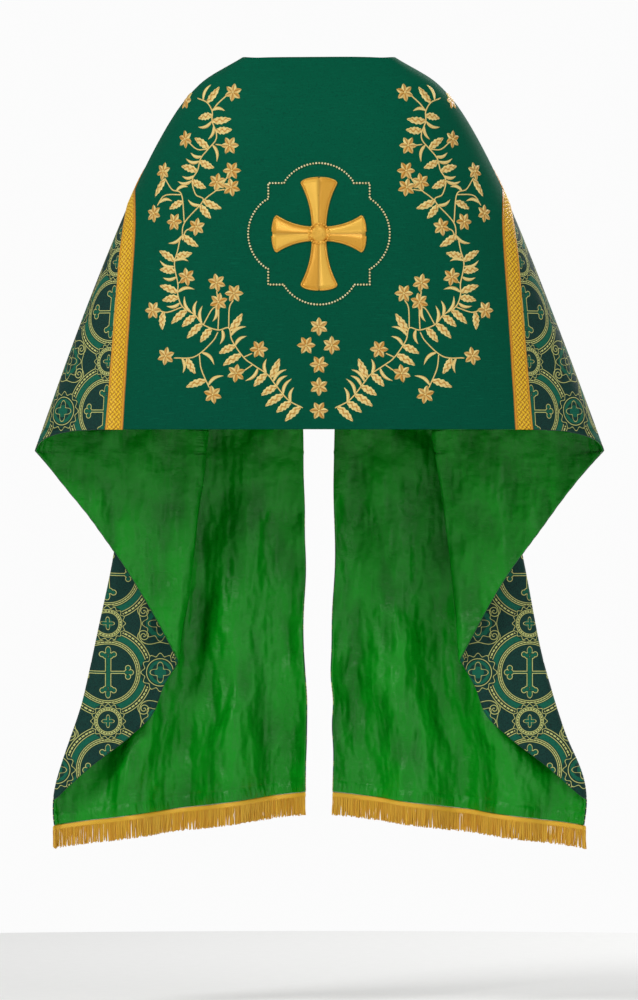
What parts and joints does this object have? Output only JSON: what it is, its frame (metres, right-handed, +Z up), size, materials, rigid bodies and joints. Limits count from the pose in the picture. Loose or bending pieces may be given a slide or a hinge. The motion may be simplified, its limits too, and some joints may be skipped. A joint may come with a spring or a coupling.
{
  "type": "humeral veil",
  "caption": "Lined humeral veil with an embroidered back panel, brocade sides, gold galloons, fringed ends and a chest clasp, draped as worn over the shoulders.",
  "frame": {"origin": "middle of the straight top edge's level, between the wearer's shoulders, where the cloth rests on them", "axes": "+Z up, -Y out of the back of the veil, +Y out of the wearer's chest, -X towards the wearer's left"},
  "size_m": [0.8658, 0.3664, 1.2075],
  "materials": {
    "panel_fabric": "plain matt crepe weave",
    "brocade_fabric": "jacquard with crosses and roundels",
    "lining_satin": "soft satin",
    "interlining_canvas": "stiff open canvas",
    "galloon_braid": "woven metallic-look braid",
    "fringe_gold": "twisted rayon threads",
    "embroidery_gold": "satin-stitch rayon thread",
    "emblem_gold": "padded satin stitch",
    "bead_thread": "raised thread dots",
    "clasp_brass": "satin"
  },
  "bodies": {
    "veil": {"centre_panel": "panel_fabric", "lining_back": "lining_satin", "interlining_back": "interlining_canvas", "brocade_left": "brocade_fabric", "brocade_right": "brocade_fabric", "lining_left": "lining_satin", "lining_right": "lining_satin", "galloon_left": "galloon_braid", "galloon_right": "galloon_braid", "fringe_heading_left": "fringe_gold", "fringe_heading_right": "fringe_gold", "fringe_skirt_left": "fringe_gold", "fringe_skirt_right": "fringe_gold", "garland_left": "embroidery_gold", "garland_right": "embroidery_gold", "bead_frame": "bead_thread", "emblem_cross": "emblem_gold", "centre_flower_1": "embroidery_gold", "centre_flower_2": "embroidery_gold", "centre_flower_3": "embroidery_gold", "centre_flower_4": "embroidery_gold", "centre_flower_5": "embroidery_gold", "centre_flower_6": "embroidery_gold", "clasp_plate_left": "clasp_brass", "clasp_plate_right": "clasp_brass", "clasp_hinge_pin": "clasp_brass", "clasp_rivet_left_upper": "clasp_brass", "clasp_rivet_left_lower": "clasp_brass", "clasp_rivet_right_upper": "clasp_brass", "clasp_rivet_right_lower": "clasp_brass"},
    "hook": {"clasp_hook_bar": "clasp_brass"}
  },
  "joints": [
    {"name": "clasp_swing", "type": "hinge", "parent": "veil", "child": "hook", "pos_m": [-0.016, 0.11732, -0.12665], "axis": [0, -0.2946, 0.9556], "range_deg": [0, 110]}
  ]
}
